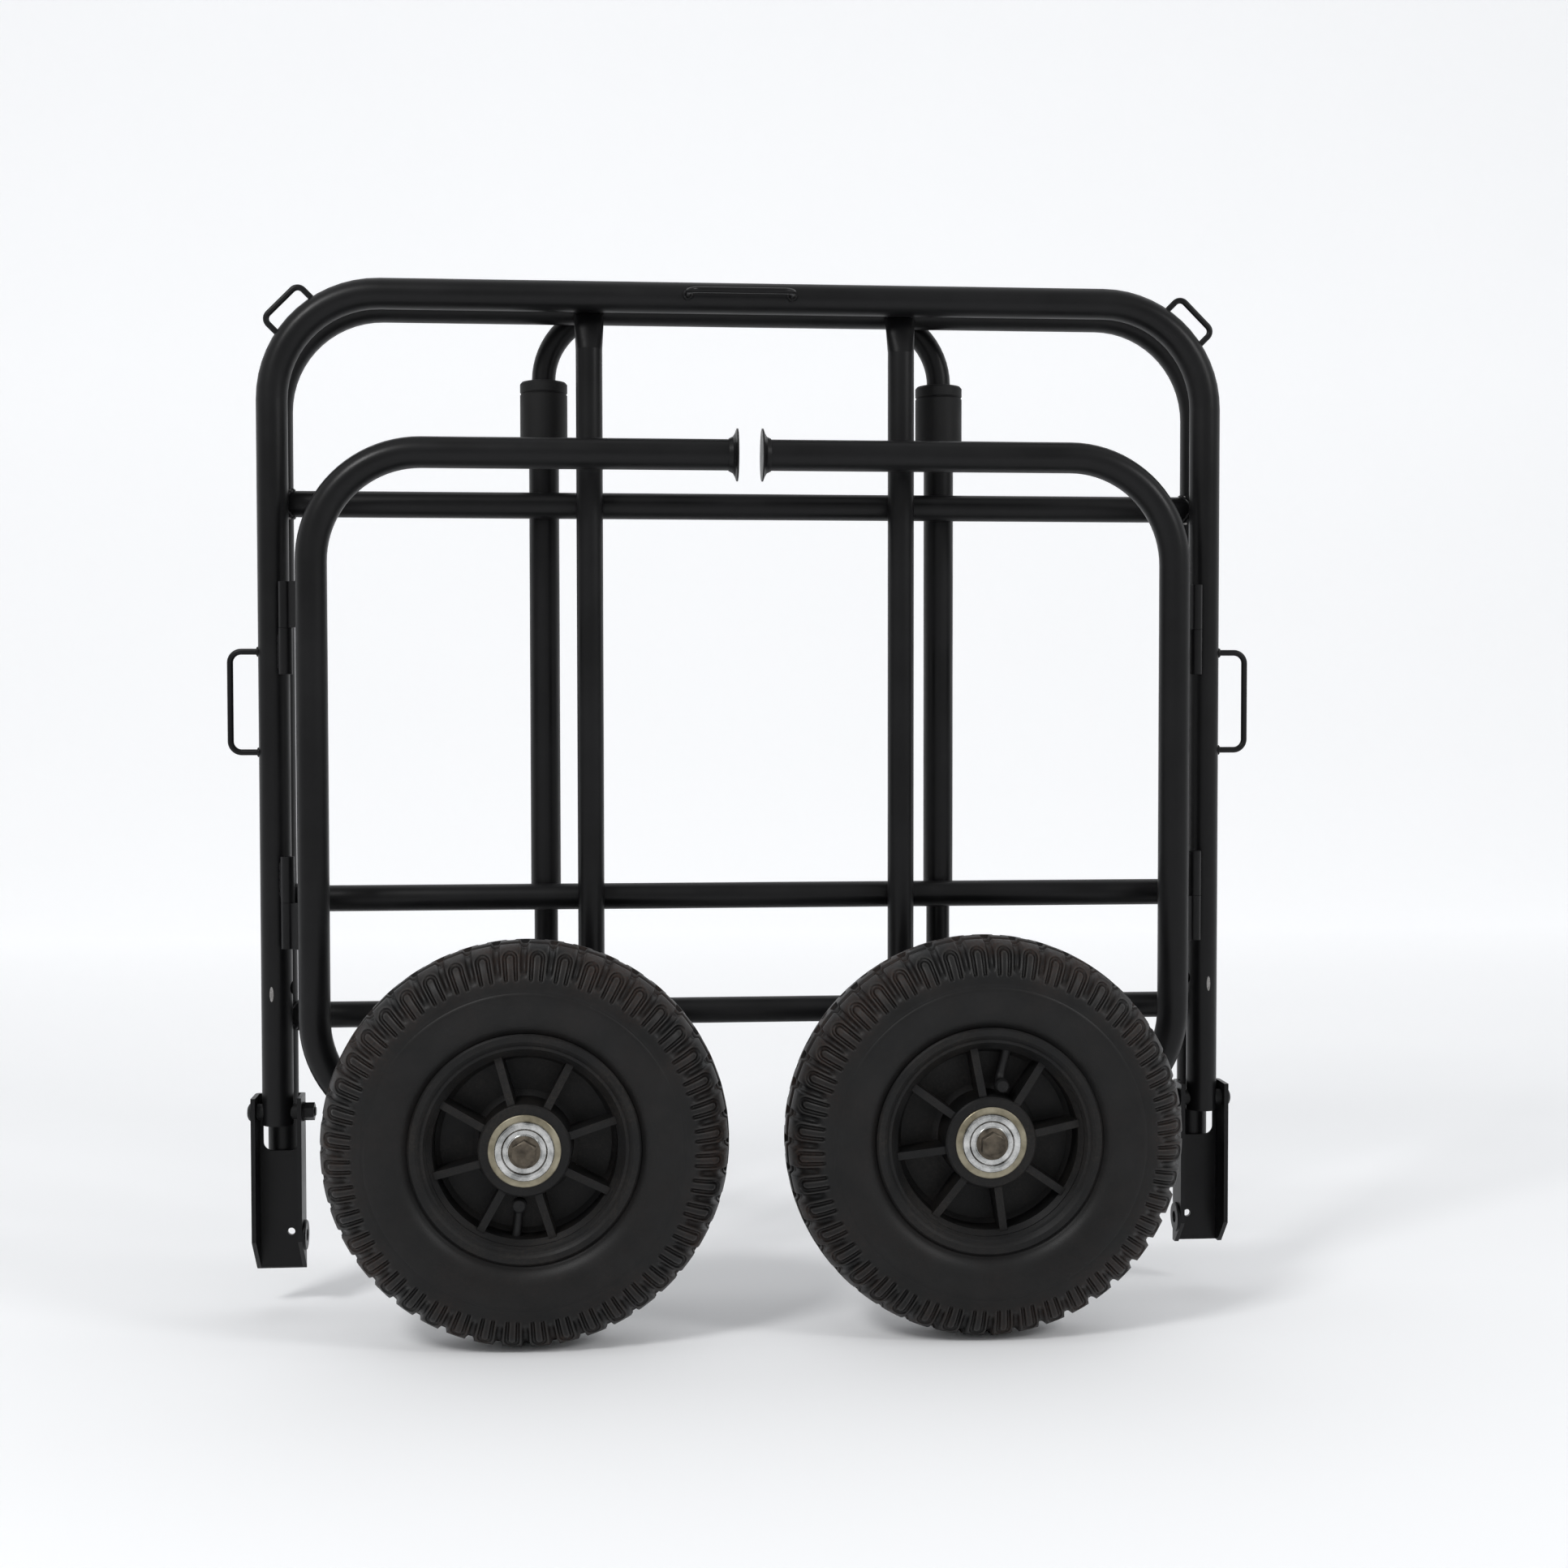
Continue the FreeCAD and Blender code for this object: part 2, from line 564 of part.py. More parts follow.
def axle_spacers(side):
    """Distance tube between the bearings, and the spacer behind the wheel."""
    inner = pipe(9.0, AXLE_R, along_axle(side, -23.7), along_axle(side, 23.7))
    outer = pipe(10.0, AXLE_R, along_axle(side, -WASHER_T + 2.4),
                 along_axle(side, ARM_BACK_T + 2 * TUBE_R + 0.1))
    return Part.makeCompound([inner, outer])


def axle_nut(side):
    """Washer and nut behind the wheel arm."""
    seat = ARM_BACK_T - BACK_WASHER_THICK
    washer = pipe(BACK_WASHER_R, AXLE_R, along_axle(side, ARM_BACK_T), along_axle(side, seat))
    nut = hexagon(AXLE_NUT_AF, along_axle(side, seat), along_axle(side, seat - AXLE_NUT_THICK))
    hole = rod(AXLE_R, along_axle(side, seat + 1), along_axle(side, seat - AXLE_NUT_THICK - 1))
    return washer.fuse(nut.cut(hole))


# ------------------------------------------------------------------------ wheels
RIM_LIP_R = 89.5
RIM_BARREL_R = 71.5
BEAD_SEAT_R = 75.5
HUB_R = 35.7
HUB_BORE_R = 14.0
CUP_R = 20.0
BEARING_R = 18.5
RIB_THICK = 6.0
RIM_HALF_WIDTH = 35.5


def ring_from(section, side):
    """Turn a closed (t, radius) outline about a wheel's axle."""
    return turned(section, along_axle(side, 0), V(0, -1, 0))


def smooth_ring(outline, side):
    """Turn a smooth closed outline of (t, radius) points about a wheel's axle."""
    origin = along_axle(side, 0)
    points = [origin + V(0, -t, r) for t, r in outline]
    curve = Part.BSplineCurve()
    curve.interpolate(points, PeriodicFlag=True)
    face = Part.Face(Part.Wire(curve.toShape()))
    return face.revolve(origin, V(0, -1, 0), 360)


def tyre(side):
    """Hollow tyre, its beads inside the rim's lips."""
    outer = [(0, 159.0), (18, 157.6), (29, 153.6), (36, 146.0), (41.5, 134.0),
             (TYRE_HALF_WIDTH, 120.0), (43.0, 107.0), (39.5, 97.0), (34.8, 92.6),
             (32.1, 90.4), (32.0, 78.0)]
    inner = [(25.5, 77.6), (28.5, 90.0), (36.0, 103.0), (38.6, 119.0), (36.0, 135.0),
             (29.5, 145.0), (16.0, 151.0), (0, 152.3)]
    right = outer + inner
    left = [(-t, r) for t, r in reversed(outer + inner[:-1])][:-1]
    return ring_from(right + left, side)


def inner_tube(side):
    """Hollow rubber air tube inside the tyre."""
    centre_r = 115.0
    half_t = 24.0
    half_r = 35.5
    wall = 1.6

    def oval_ring(shrink):
        return [((half_t - shrink) * math.cos(a), centre_r + (half_r - shrink) * math.sin(a))
                for a in (2 * math.pi * k / 16 for k in range(16))]

    return smooth_ring(oval_ring(0), side).cut(smooth_ring(oval_ring(wall), side))


def rim_half(side, face, valve_angle):
    """Half of a moulded rim with eight ribs; face is +1 at the front, -1 at the back."""
    t0 = 0.05
    outline = [(t0, HUB_BORE_R), (22, HUB_BORE_R), (22, CUP_R), (HUB_HALF, CUP_R),
               (HUB_HALF, HUB_R - 1.2), (HUB_HALF - 1.2, HUB_R), (6.0, HUB_R + 1.5),
               (4.0, HUB_R + 6), (4.0, RIM_BARREL_R - 5), (6.5, RIM_BARREL_R - 1.0),
               (24.0, RIM_BARREL_R), (RIM_HALF_WIDTH - 1.5, 81.5), (RIM_HALF_WIDTH, 83.5),
               (RIM_HALF_WIDTH, 88.0), (RIM_HALF_WIDTH - 1.2, RIM_LIP_R),
               (33.0, RIM_LIP_R), (32.4, 88.0), (32.4, BEAD_SEAT_R + 2.2), (30.0, BEAD_SEAT_R),
               (t0, BEAD_SEAT_R)]
    half = ring_from([(face * t, r) for t, r in outline], side)
    rib_outline = [(3.0, HUB_R - 3), (33.5, HUB_R - 3), (33.5, HUB_R + 1), (26.0, RIM_BARREL_R + 1.5),
                   (3.0, RIM_BARREL_R + 1.5)]
    ribs = []
    for k in range(RIB_COUNT):
        angle = math.radians(valve_angle + 360.0 * (k + 0.5) / RIB_COUNT)
        radial = V(math.cos(angle), 0, math.sin(angle))
        thick = radial.cross(V(0, 1, 0)) * RIB_THICK
        points = [along_axle(side, face * t) + radial * r - thick / 2 for t, r in rib_outline]
        ribs.append(Part.Face(Part.makePolygon(points + [points[0]])).extrude(thick))
    return half.fuse(ribs).removeSplitter()


VALVE_RING_R = 44.0
VALVE_BEND_R = 9.0
VALVE_T = 13.0
VALVE_STEM_R = 3.6
VALVE_TIP_T = 25.0


def valve_stem(side, valve_angle):
    """Bent valve stem: inward through the rim, then out towards the wheel's face."""
    angle = math.radians(valve_angle)
    radial = V(math.cos(angle), 0, math.sin(angle))
    base = along_axle(side, VALVE_T) + radial * (BEAD_SEAT_R + 2.0)
    corner = along_axle(side, VALVE_T) + radial * VALVE_RING_R
    tip = along_axle(side, VALVE_TIP_T) + radial * VALVE_RING_R
    return sweep([base, corner, tip], VALVE_BEND_R, VALVE_STEM_R)


def valve_cap(side, valve_angle):
    angle = math.radians(valve_angle)
    origin = along_axle(side, 0) + V(math.cos(angle), 0, math.sin(angle)) * VALVE_RING_R
    profile = [(VALVE_TIP_T - 1, VALVE_STEM_R), (VALVE_TIP_T - 1, 5.6), (VALVE_TIP_T + 5, 5.6),
               (VALVE_TIP_T + 7, 4.4), (VALVE_TIP_T + 8, 0), (VALVE_TIP_T + GAP, 0),
               (VALVE_TIP_T + GAP, VALVE_STEM_R)]
    return turned(profile, origin, V(0, -1, 0))


def front_rim(side, valve_angle):
    """Front rim half with the valve's hole through its barrel."""
    angle = math.radians(valve_angle)
    radial = V(math.cos(angle), 0, math.sin(angle))
    hole = rod(VALVE_STEM_R + 0.1, along_axle(side, VALVE_T) + radial * 60,
               along_axle(side, VALVE_T) + radial * 80)
    return rim_half(side, 1, valve_angle).cut(hole)


def bearing_cups(side):
    """Pressed steel cups, one in each end of the hub."""
    cups = []
    for face in (1, -1):
        profile = [(22, 12.0), (22, CUP_R), (HUB_HALF, CUP_R), (HUB_HALF, 27.9),
                   (HUB_HALF + CUP_FLANGE_THICK - 0.5, 27.9),
                   (HUB_HALF + CUP_FLANGE_THICK, 27.3), (HUB_HALF + CUP_FLANGE_THICK, BEARING_R),
                   (23.5, BEARING_R), (23.5, 12.0)]
        cups.append(ring_from([(face * t, r) for t, r in profile], side))
    return Part.makeCompound(cups)


def bearings(side):
    """Ball bearings, each as one closed ring on the axle bolt."""
    pieces = []
    for face in (1, -1):
        profile = [(24, AXLE_R + RUNNING), (24, BEARING_R), (36, BEARING_R), (36, 16.5), (35.4, 16.2),
                   (35.4, 9.6), (36, 9.3), (36, AXLE_R + RUNNING)]
        pieces.append(ring_from([(face * t, r) for t, r in profile], side))
    return Part.makeCompound(pieces)


# --------------------------------------------------------------------- all nodes
def nodes():
    """Every node's name and shape."""
    yield "front_frame", front_frame()
    yield "pivot_sleeves", both_sides(pivot_sleeve)
    yield "side_tie_loops", both_sides(side_loop)
    yield "corner_tie_loops", both_sides(corner_loop)
    yield "top_tie_loop", top_loop()
    yield "fixed_hinge_knuckles", fixed_knuckles()
    yield "hinge_pins", hinge_pins()
    yield "rear_frame", rear_frame()
    yield "upper_cross_bar", cross_bar(UPPER_BAR_Z)
    yield "middle_cross_bar", cross_bar(MIDDLE_BAR_Z)
    yield "lower_cross_bar", cross_bar(LOWER_BAR_Z)
    yield "guide_bushes", both_sides(guide_bush)
    yield "pivot_bolts", both_sides(pivot_bolt)
    yield "pivot_nuts", both_sides(pivot_nut)
    yield "handle", handle()
    for name, side in SIDES.items():
        angle = VALVE_ANGLE[name]
        yield "long_bar_" + name, long_bar(side)
        yield "guide_tube_" + name, guide_tube(side)
        yield "collar_" + name, collar(side)
        yield "bracket_" + name, bracket(name)
        yield "pin_socket_" + name, pin_socket(side)
        yield "leg_frame_" + name, leg_frame(side)
        yield "foot_plate_" + name, foot_plate(side)
        yield "arm_plug_" + name, arm_plug(side)
        yield "leg_knuckles_" + name, leg_knuckles(side)
        yield "axle_bolt_" + name, axle_bolt(side)
        yield "axle_washer_" + name, axle_washer(side)
        yield "axle_spacers_" + name, axle_spacers(side)
        yield "axle_nut_" + name, axle_nut(side)
        yield "tyre_" + name, tyre(side)
        yield "inner_tube_" + name, inner_tube(side)
        yield "rim_front_" + name, front_rim(side, angle)
        yield "rim_back_" + name, rim_half(side, -1, angle)
        yield "bearing_cups_" + name, bearing_cups(side)
        yield "bearings_" + name, bearings(side)
        yield "valve_stem_" + name, valve_stem(side, angle)
        yield "valve_cap_" + name, valve_cap(side, angle)


os.makedirs("parts", exist_ok=True)
for node, shape in nodes():
    shape.exportStep("parts/" + node + ".step")
    solids = len(shape.Solids)
    print("%-22s %d solids, %9.0f mm3, valid %s" % (node, solids, shape.Volume, shape.isValid()))
print("front U's plane at y = %.3f" % FRONT_Y)
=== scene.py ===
import json
import math

import bmesh
import bpy
import numpy as np
from mathutils import Matrix, Vector


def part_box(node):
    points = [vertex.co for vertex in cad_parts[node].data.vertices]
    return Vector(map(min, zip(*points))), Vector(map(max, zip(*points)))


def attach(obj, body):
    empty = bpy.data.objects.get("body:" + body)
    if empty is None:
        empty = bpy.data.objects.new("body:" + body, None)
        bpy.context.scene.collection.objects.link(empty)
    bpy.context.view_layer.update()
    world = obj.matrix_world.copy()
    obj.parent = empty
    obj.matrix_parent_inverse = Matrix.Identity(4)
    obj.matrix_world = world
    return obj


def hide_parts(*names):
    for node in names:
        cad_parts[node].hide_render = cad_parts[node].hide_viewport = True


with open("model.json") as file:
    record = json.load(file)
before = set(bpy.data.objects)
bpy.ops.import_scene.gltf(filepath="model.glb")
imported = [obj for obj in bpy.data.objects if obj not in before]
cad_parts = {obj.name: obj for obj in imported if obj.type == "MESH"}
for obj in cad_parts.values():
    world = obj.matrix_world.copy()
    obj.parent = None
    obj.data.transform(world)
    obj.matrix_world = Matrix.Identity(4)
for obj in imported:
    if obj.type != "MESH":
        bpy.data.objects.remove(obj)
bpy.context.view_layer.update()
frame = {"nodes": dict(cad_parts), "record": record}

bl_info = {
    "name": "Folding flat-bed camp cart",
    "version": (1, 0, 0),
    "blender": (4, 5, 0),
    "location": "View3D > Sidebar > Camp Cart",
    "description": "Adds the treaded tyres, welds, finishes and studio of a folding camp cart",
    "category": "Add Mesh",
}

SIDES = {"left": -1, "right": 1}
FRONT_Y = 0.0441          # depth of the front U's plane
ARCH_TOP_R = 0.1475       # radius where a shoulder arch starts to round over
ARCH_HALF = 0.0042        # half the width of an arch
ARCH_FOOT_R = 0.1315      # radius of an arch's two feet
LUG_PITCH_R = 0.145       # radius at which the lugs' pitch is measured
TREAD_R = 0.159           # radius over the tread
TUBE_R = 0.0127           # frame tube
CROSS_BAR_R = 0.0112      # weld line round a cross bar's end
LONG_BAR_X = 0.1305       # the two lengthwise bars, either side of the middle
FRONT_LEG_X = 0.389       # the front U's legs, either side of the middle
LEAF_EDGE_X = 0.3826      # edge of the hinge leaves welded to the front legs
ARCH_DEPTH = 0.0013       # how deep an arch is cut
RAIN_GROOVE_DEPTH = 0.0035
SIDEWALL_RING_DEPTH = 0.0007
COLUMNS_PER_LUG = 18
LONG_BAR_WELD_Z = 0.8285  # weld at the lengthwise bars' squashed tops
BRACKET_WELD_Z = (0.104, 0.128)
LEAF_SPANS_Z = ((0.528, 0.5615), (0.342, 0.3755))
SIDE_LOOP_X = 0.4012      # where the side loops' ends meet the front legs
SIDE_LOOP_ENDS_Z = (0.46225, 0.54475)
TOP_LOOP_ENDS_X = (-0.049, 0.037)
TOP_LOOP_Z = 0.838
ROD_WELD_R = 0.0028       # ring of weld round a loop's rod
PROFILE_POINTS = 60       # points on half of a tyre's profile


def joint_position(name):
    """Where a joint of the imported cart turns, in metres."""
    joints = frame["record"]["behaviour"]["joints"]
    return next(j["pos_m"] for j in joints if j["name"] == name)


# ------------------------------------------------------------------- mesh helpers
def grid_mesh(name, points, close_u=False, close_v=False, flip=False):
    """A mesh from an array of points, rows by columns, with quads between neighbours.

    Quad (i, j) joins points (i, j), (i+1, j), (i+1, j+1) and (i, j+1), wrapping round
    where a direction is closed.
    """
    rows, columns = points.shape[:2]
    i = np.arange(rows if close_u else rows - 1)
    j = np.arange(columns if close_v else columns - 1)
    i, j = np.meshgrid(i, j, indexing="ij")
    i2 = (i + 1) % rows
    j2 = (j + 1) % columns
    quads = np.stack([i * columns + j, i2 * columns + j, i2 * columns + j2,
                      i * columns + j2], axis=-1).reshape(-1, 4)
    if flip:
        quads = quads[:, ::-1]
    mesh = bpy.data.meshes.new(name)
    mesh.from_pydata(points.reshape(-1, 3).tolist(), [], quads.tolist())
    mesh.validate()
    mesh.shade_smooth()
    return mesh


def add_piece(name, mesh, body, material):
    """Link a mesh as one piece that rides on a body of the cart."""
    piece = bpy.data.objects.new(name, mesh)
    bpy.context.scene.collection.objects.link(piece)
    piece.data.materials.append(material)
    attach(piece, body)
    return piece


def join_meshes(name, meshes):
    """One mesh from several: points are stacked and faces shifted by what came before."""
    points = []
    faces = []
    shift = 0
    for mesh in meshes:
        coords = np.empty(len(mesh.vertices) * 3)
        mesh.vertices.foreach_get("co", coords)
        points += coords.reshape(-1, 3).tolist()
        faces += [[v + shift for v in polygon.vertices] for polygon in mesh.polygons]
        shift += len(mesh.vertices)
        bpy.data.meshes.remove(mesh)
    joined = bpy.data.meshes.new(name)
    joined.from_pydata(points, [], faces)
    joined.validate()
    joined.shade_smooth()
    return joined


def smooth_step(low, high, value):
    """0 below low, 1 above high, and t * t * (3 - 2 * t) between them."""
    t = np.clip((value - low) / (high - low), 0, 1)
    return t * t * (3 - 2 * t)


# --------------------------------------------------------------- shader node groups
def new_group(name, inputs, outputs):
    """An empty shader group with named sockets: inputs are (name, type, default)."""
    group = bpy.data.node_groups.new(name, "ShaderNodeTree")
    for title, kind, default in inputs:
        socket = group.interface.new_socket(title, in_out="INPUT", socket_type=kind)
        if default is not None:
            socket.default_value = default
    for title, kind in outputs:
        group.interface.new_socket(title, in_out="OUTPUT", socket_type=kind)
    start = group.nodes.new("NodeGroupInput")
    end = group.nodes.new("NodeGroupOutput")
    return group, start, end


def noise(tree, vector, scale, detail=3.0, roughness=0.55):
    node = tree.nodes.new("ShaderNodeTexNoise")
    node.inputs["Scale"].default_value = scale
    node.inputs["Detail"].default_value = detail
    node.inputs["Roughness"].default_value = roughness
    tree.links.new(vector, node.inputs["Vector"])
    return node


def map_range(tree, value, low, high, to_low=0.0, to_high=1.0):
    node = tree.nodes.new("ShaderNodeMapRange")
    node.inputs["From Min"].default_value = low
    node.inputs["From Max"].default_value = high
    node.inputs["To Min"].default_value = to_low
    node.inputs["To Max"].default_value = to_high
    tree.links.new(value, node.inputs["Value"])
    return node.outputs["Result"]


def math_node(tree, operation, a, b=None):
    node = tree.nodes.new("ShaderNodeMath")
    node.operation = operation
    for socket, value in zip(node.inputs, (a, b)):
        if isinstance(value, (int, float)):
            socket.default_value = value
        elif value is not None:
            tree.links.new(value, socket)
    return node.outputs["Value"]


def mix_colour(tree, factor, a, b):
    """A colour between a and b; each may be a socket or an RGBA tuple."""
    node = tree.nodes.new("ShaderNodeMix")
    node.data_type = "RGBA"
    for socket, value in ((node.inputs[6], a), (node.inputs[7], b)):
        if isinstance(value, tuple):
            socket.default_value = value
        else:
            tree.links.new(value, socket)
    tree.links.new(factor, node.inputs[0])
    return node.outputs[2]


def surface_grain_group():
    """Fine bumps and soft mottling, as of powder coat, moulded plastic or plated steel."""
    group, start, end = new_group(
        "Surface grain",
        [("Vector", "NodeSocketVector", None), ("Grain scale", "NodeSocketFloat", 900.0),
         ("Grain height", "NodeSocketFloat", 0.15), ("Mottle scale", "NodeSocketFloat", 18.0)],
        [("Normal", "NodeSocketVector"), ("Mottle", "NodeSocketFloat")])
    grain = noise(group, start.outputs["Vector"], 900.0, 2.0)
    group.links.new(start.outputs["Grain scale"], grain.inputs["Scale"])
    mottle = noise(group, start.outputs["Vector"], 18.0, 4.0)
    group.links.new(start.outputs["Mottle scale"], mottle.inputs["Scale"])
    bump = group.nodes.new("ShaderNodeBump")
    bump.inputs["Distance"].default_value = 0.0004
    group.links.new(start.outputs["Grain height"], bump.inputs["Strength"])
    group.links.new(grain.outputs["Fac"], bump.inputs["Height"])
    group.links.new(bump.outputs["Normal"], end.inputs["Normal"])
    spread = map_range(group, mottle.outputs["Fac"], 0.35, 0.65)
    group.links.new(spread, end.inputs["Mottle"])
    return group


def dust_group():
    """Patchy dust mask: noise at two sizes, kept where it is above a threshold."""
    group, start, end = new_group(
        "Dust",
        [("Vector", "NodeSocketVector", None), ("Amount", "NodeSocketFloat", 0.4)],
        [("Mask", "NodeSocketFloat")])
    broad = noise(group, start.outputs["Vector"], 26.0, 4.0)
    fine = noise(group, start.outputs["Vector"], 420.0, 3.0, 0.7)
    broad_mask = map_range(group, broad.outputs["Fac"], 0.40, 0.62)
    fine_mask = map_range(group, fine.outputs["Fac"], 0.45, 0.62)
    both = math_node(group, "MULTIPLY", broad_mask, math_node(group, "ADD", fine_mask, 0.35))
    scaled = math_node(group, "MULTIPLY", both, start.outputs["Amount"])
    clamp = group.nodes.new("ShaderNodeClamp")
    group.links.new(scaled, clamp.inputs["Value"])
    group.links.new(clamp.outputs["Result"], end.inputs["Mask"])
    return group


def place_group(tree, name, vector, values=()):
    """A named group in a material, fed with a vector and its own values."""
    node = tree.nodes.new("ShaderNodeGroup")
    node.node_tree = bpy.data.node_groups[name]
    tree.links.new(vector, node.inputs["Vector"])
    for title, value in dict(values).items():
        node.inputs[title].default_value = value
    return node


def new_material(name):
    """A material with an empty Principled surface; also gives Object coordinates."""
    material = bpy.data.materials.new(name)
    material.use_nodes = True
    tree = material.node_tree
    tree.nodes.clear()
    shader = tree.nodes.new("ShaderNodeBsdfPrincipled")
    output = tree.nodes.new("ShaderNodeOutputMaterial")
    tree.links.new(shader.outputs["BSDF"], output.inputs["Surface"])
    coordinates = tree.nodes.new("ShaderNodeTexCoord")
    return material, tree, shader, coordinates.outputs["Object"]


def grained_material(name, dark, light, rough, metallic=0.0, grain=(900.0, 0.15, 18.0),
                     dust=0.0, dust_colour=(0.07, 0.055, 0.042, 1), gloss=0.5):
    """Two close tones mottled together, with roughness that follows, grain and dust."""
    material, tree, shader, vector = new_material(name)
    grained = place_group(tree, "Surface grain", vector,
                          (("Grain scale", grain[0]), ("Grain height", grain[1]),
                           ("Mottle scale", grain[2])))
    colour = mix_colour(tree, grained.outputs["Mottle"], dark, light)
    if dust:
        dusty = place_group(tree, "Dust", vector, (("Amount", dust),))
        colour = mix_colour(tree, dusty.outputs["Mask"], colour, dust_colour)
    tree.links.new(colour, shader.inputs["Base Color"])
    roughness = map_range(tree, grained.outputs["Mottle"], 0, 1, rough[0], rough[1])
    tree.links.new(roughness, shader.inputs["Roughness"])
    tree.links.new(grained.outputs["Normal"], shader.inputs["Normal"])
    shader.inputs["Metallic"].default_value = metallic
    shader.inputs["Specular IOR Level"].default_value = gloss
    return material


def grey(value):
    return (value, value, value * 1.03, 1)


def tyre_material(name, axle, lugs):
    """Charcoal rubber with arched grooves on the shoulder lugs and dust in the tread, with
    painted shade in the arch grooves and a painted highlight along each arch's outer edge.

    With w the distance across a lug and r the radius, an arch's centre line is where
    hypot(w, max(r - ARCH_TOP_R, 0)) equals ARCH_HALF, for r above the arch's foot.
    """
    material, tree, shader, vector = new_material(name)
    pitch = 2 * math.pi * LUG_PITCH_R / lugs
    grained = place_group(tree, "Surface grain", vector,
                          (("Grain scale", 1400.0), ("Grain height", 0.3),
                           ("Mottle scale", 34.0)))
    dusty = place_group(tree, "Dust", vector, (("Amount", 0.7),))
    offset = tree.nodes.new("ShaderNodeVectorMath")
    offset.operation = "SUBTRACT"
    offset.inputs[1].default_value = axle
    tree.links.new(vector, offset.inputs[0])
    parts = tree.nodes.new("ShaderNodeSeparateXYZ")
    tree.links.new(offset.outputs["Vector"], parts.inputs[0])
    across, upward = parts.outputs["X"], parts.outputs["Z"]
    squares = math_node(tree, "ADD", math_node(tree, "MULTIPLY", across, across),
                        math_node(tree, "MULTIPLY", upward, upward))
    radius = math_node(tree, "SQRT", squares)
    turn = math_node(tree, "ARCTAN2", upward, across)
    share = math_node(tree, "FRACT", math_node(tree, "MULTIPLY", turn, lugs / (2 * math.pi)))
    w = math_node(tree, "MULTIPLY", math_node(tree, "SUBTRACT", share, 0.5), pitch)
    beyond = math_node(tree, "MAXIMUM", math_node(tree, "SUBTRACT", radius, ARCH_TOP_R), 0.0)
    arch = math_node(tree, "SQRT", math_node(tree, "ADD", math_node(tree, "MULTIPLY", w, w),
                                             math_node(tree, "MULTIPLY", beyond, beyond)))
    distance = math_node(tree, "ABSOLUTE", math_node(tree, "SUBTRACT", arch, ARCH_HALF))
    line = map_range(tree, distance, 0.0006, 0.0018, 1, 0)
    foot = map_range(tree, radius, ARCH_FOOT_R - 0.001, ARCH_FOOT_R + 0.001)
    groove = math_node(tree, "MULTIPLY", line, foot)
    bump = tree.nodes.new("ShaderNodeBump")
    bump.inputs["Distance"].default_value = 0.0012
    bump.inputs["Strength"].default_value = 0.9
    bump.invert = True
    tree.links.new(groove, bump.inputs["Height"])
    tree.links.new(grained.outputs["Normal"], bump.inputs["Normal"])
    near_tread = map_range(tree, radius, TREAD_R - 0.036, TREAD_R - 0.006, 0.08, 0.6)
    mask = math_node(tree, "MULTIPLY", dusty.outputs["Mask"], near_tread)
    rubber = mix_colour(tree, grained.outputs["Mottle"], (0.0036, 0.0036, 0.0037, 1),
                        (0.0068, 0.0066, 0.0066, 1))
    # Painted shade: the arch grooves are coloured darker than the rubber round them.
    groove_shaded = mix_colour(tree, groove, rubber, (0.0018, 0.0015, 0.0014, 1))
    # Painted highlight: a lighter band just outside each arch groove, along the arch's edge.
    rise = map_range(tree, distance, 0.0016, 0.0022)
    fall = map_range(tree, distance, 0.0022, 0.0034, 1, 0)
    edge = math_node(tree, "MULTIPLY", math_node(tree, "MULTIPLY", rise, fall), foot)
    arch_edge_highlighted = mix_colour(tree, edge, groove_shaded, (0.022, 0.021, 0.020, 1))
    colour = mix_colour(tree, mask, arch_edge_highlighted, (0.040, 0.021, 0.014, 1))
    tree.links.new(colour, shader.inputs["Base Color"])
    roughness = map_range(tree, mask, 0, 1, 0.42, 0.80)
    tree.links.new(roughness, shader.inputs["Roughness"])
    tree.links.new(bump.outputs["Normal"], shader.inputs["Normal"])
    shader.inputs["Specular IOR Level"].default_value = 0.24
    return material


